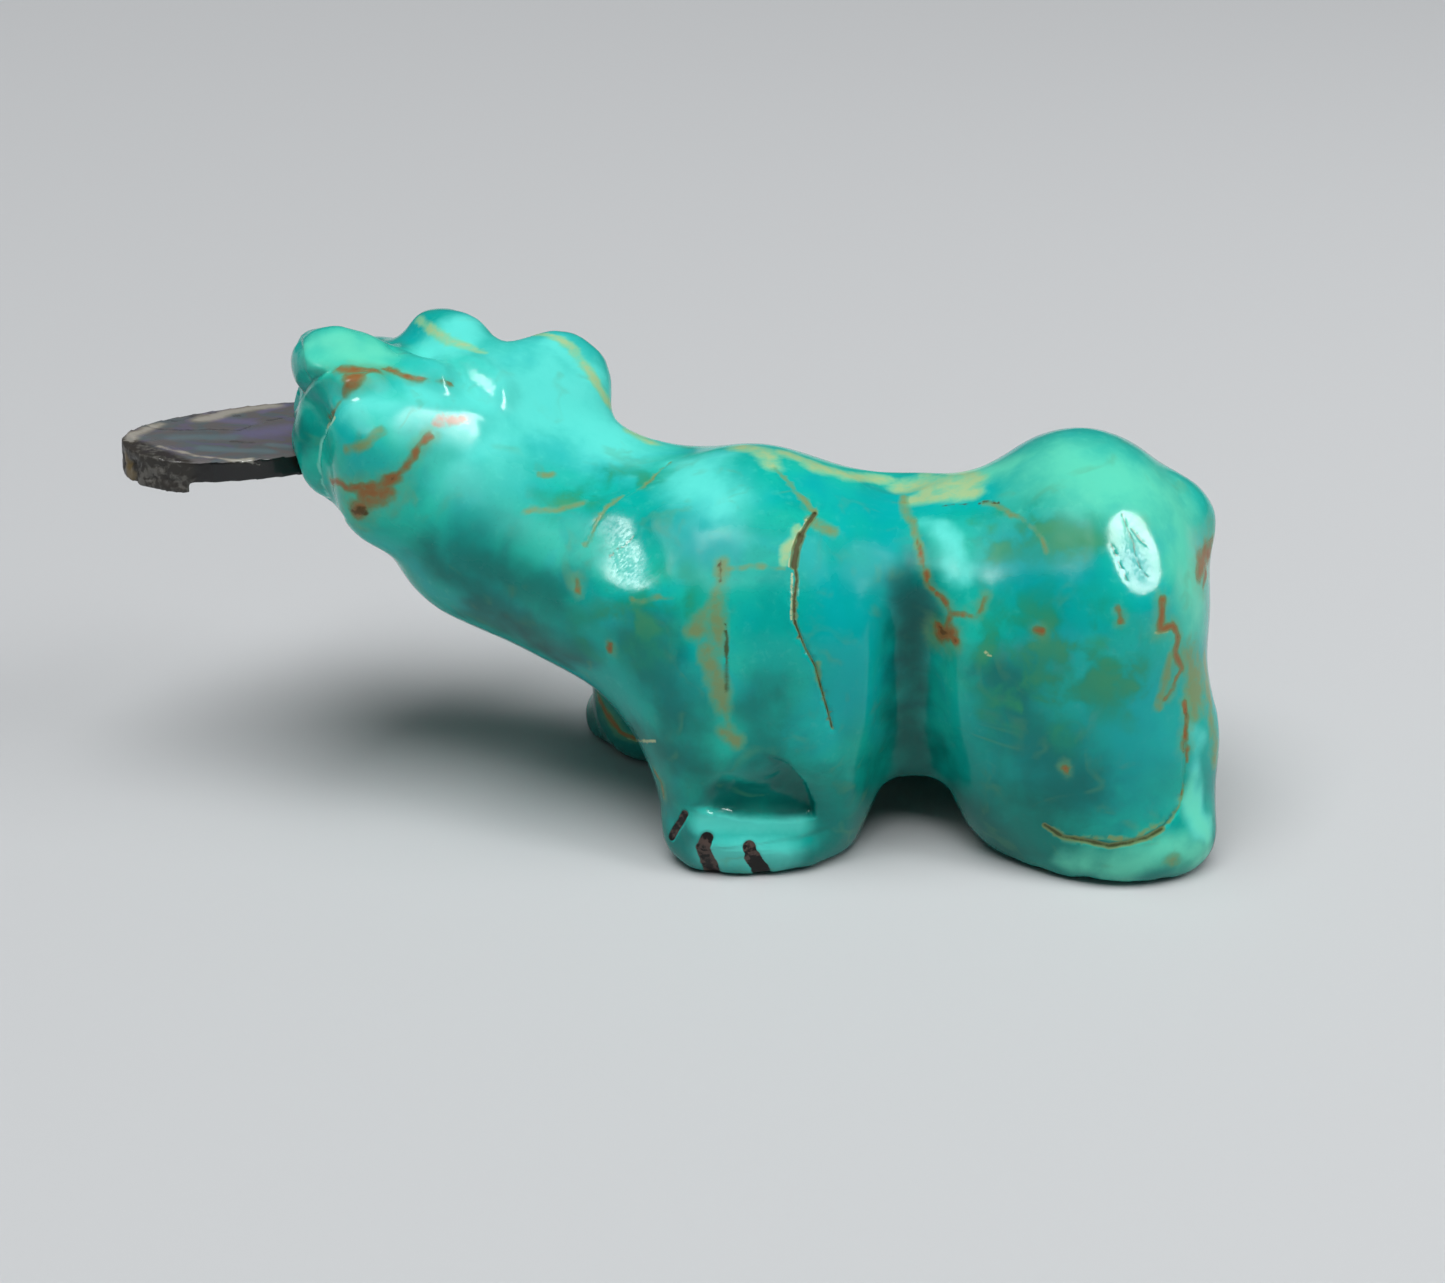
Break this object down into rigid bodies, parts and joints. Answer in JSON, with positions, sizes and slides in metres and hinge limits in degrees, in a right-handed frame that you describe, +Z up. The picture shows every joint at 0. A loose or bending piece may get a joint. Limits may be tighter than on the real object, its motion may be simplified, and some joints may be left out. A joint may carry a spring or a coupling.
{
  "type": "carved stone bear fetish",
  "caption": "Small bear carved from one polished stone, standing with its head raised and turned aside, holding a flat shell fish crosswise in its jaws.",
  "frame": {"origin": "under the middle of the whole work's box, in the plane of the soles", "axes": "+Z up; the bear walks towards -X and its left side faces -Y"},
  "size_m": [0.069, 0.0316, 0.0318],
  "materials": {
    "turquoise": "polished",
    "shell": "polished"
  },
  "bodies": {
    "root": {"bear": "turquoise", "fish": "shell"}
  },
  "joints": []
}
